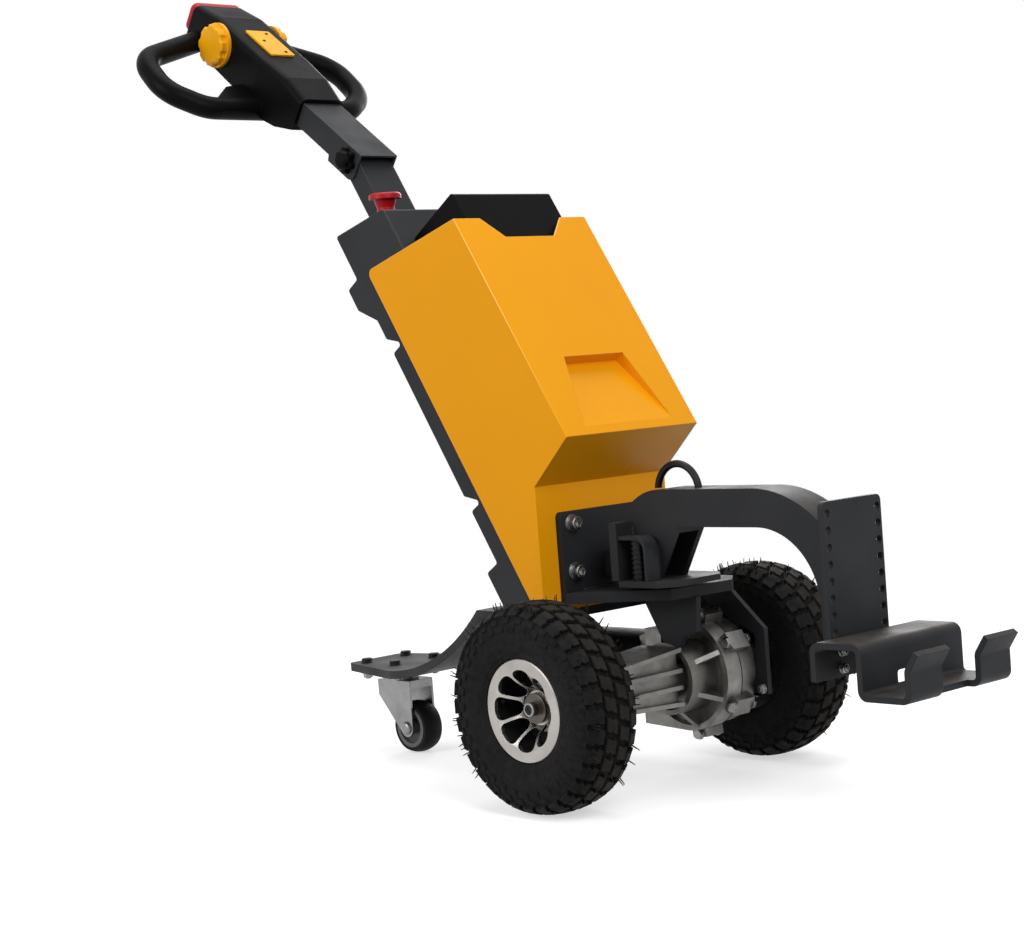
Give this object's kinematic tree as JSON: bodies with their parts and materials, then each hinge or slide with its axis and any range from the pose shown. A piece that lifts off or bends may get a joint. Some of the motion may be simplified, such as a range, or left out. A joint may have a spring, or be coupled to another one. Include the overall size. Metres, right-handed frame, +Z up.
{
  "type": "walk-behind electric tow tractor",
  "caption": "Walk-behind electric tow tractor: leaning body on driven pneumatic tyres, trailing caster, folding tiller with grip loops, gooseneck hitch with towing cradle.",
  "frame": {"origin": "middle of the bounding box at floor level", "axes": "+X forward to the hitch, +Y to the vehicle's left, +Z up"},
  "size_m": [1.4458, 0.5206, 1.2156],
  "materials": {
    "cover_paint": "gloss amber powder coat",
    "frame_paint": "satin charcoal powder coat",
    "black_plastic": "fine grained moulding",
    "red_plastic": "satin moulding",
    "yellow_plastic": "satin moulding",
    "cast_aluminium": "cast, lightly blasted",
    "rim_alloy": "machined lip, painted dish",
    "tyre_rubber": "block tread",
    "motor_black": "semi-gloss black",
    "zinc_steel": "bright zinc plate",
    "black_steel": "black oxide",
    "caster_rubber": "moulded tread",
    "caster_hub": "grey moulding"
  },
  "bodies": {
    "chassis": {"axle_tube": "cast_aluminium", "battery_case": "black_plastic", "body_cover": "cover_paint", "caster_deck": "frame_paint", "caster_plate": "zinc_steel", "chassis_tray": "frame_paint", "control_panel": "frame_paint", "cradle": "frame_paint", "drive_motor": "motor_black", "estop_button": "red_plastic", "estop_collar": "black_plastic", "floor_plate": "frame_paint", "front_plate": "frame_paint", "gearbox_case": "cast_aluminium", "gearbox_cover": "cast_aluminium", "gooseneck": "frame_paint", "hitch_shelf": "frame_paint", "hole_plate": "frame_paint", "inner_hanger": "frame_paint", "latch_spring": "black_steel", "latch_strap": "frame_paint", "lifting_ring": "black_steel", "outer_hanger": "frame_paint", "tiller_post": "frame_paint"},
    "tiller": {"tiller_arm": "frame_paint", "pivot_bolt": "black_steel", "pivot_knob": "black_plastic", "tiller_head": "black_plastic", "belly_button": "red_plastic", "thumb_wheel_left": "yellow_plastic", "thumb_wheel_right": "yellow_plastic", "switch_plate": "yellow_plastic"},
    "caster": {"caster_fork": "zinc_steel"},
    "caster_wheel": {"caster_hub": "caster_hub", "caster_tyre": "caster_rubber"},
    "wheel_left": {"tyre_left": "tyre_rubber", "rim_left": "rim_alloy", "hub_left": "zinc_steel"},
    "wheel_right": {"tyre_right": "tyre_rubber", "rim_right": "rim_alloy", "hub_right": "zinc_steel"}
  },
  "joints": [
    {"name": "wheel_left_spin", "type": "hinge", "parent": "chassis", "child": "wheel_left", "pos_m": [0.20428, 0.2141, 0.1395], "axis": [0, 1, 0], "continuous": true},
    {"name": "wheel_right_spin", "type": "hinge", "parent": "chassis", "child": "wheel_right", "pos_m": [0.20428, -0.2141, 0.1395], "axis": [0, 1, 0], "continuous": true},
    {"name": "caster_swivel", "type": "hinge", "parent": "chassis", "child": "caster", "pos_m": [-0.34771, 0, 0.113], "axis": [0, 0, 1], "continuous": true},
    {"name": "caster_wheel_spin", "type": "hinge", "parent": "caster", "child": "caster_wheel", "pos_m": [-0.31672, 0, 0.04], "axis": [0, 1, 0], "continuous": true},
    {"name": "tiller_fold", "type": "hinge", "parent": "chassis", "child": "tiller", "pos_m": [-0.33564, 0, 0.91354], "axis": [0, 1, 0], "range_deg": [-35, 20]}
  ]
}
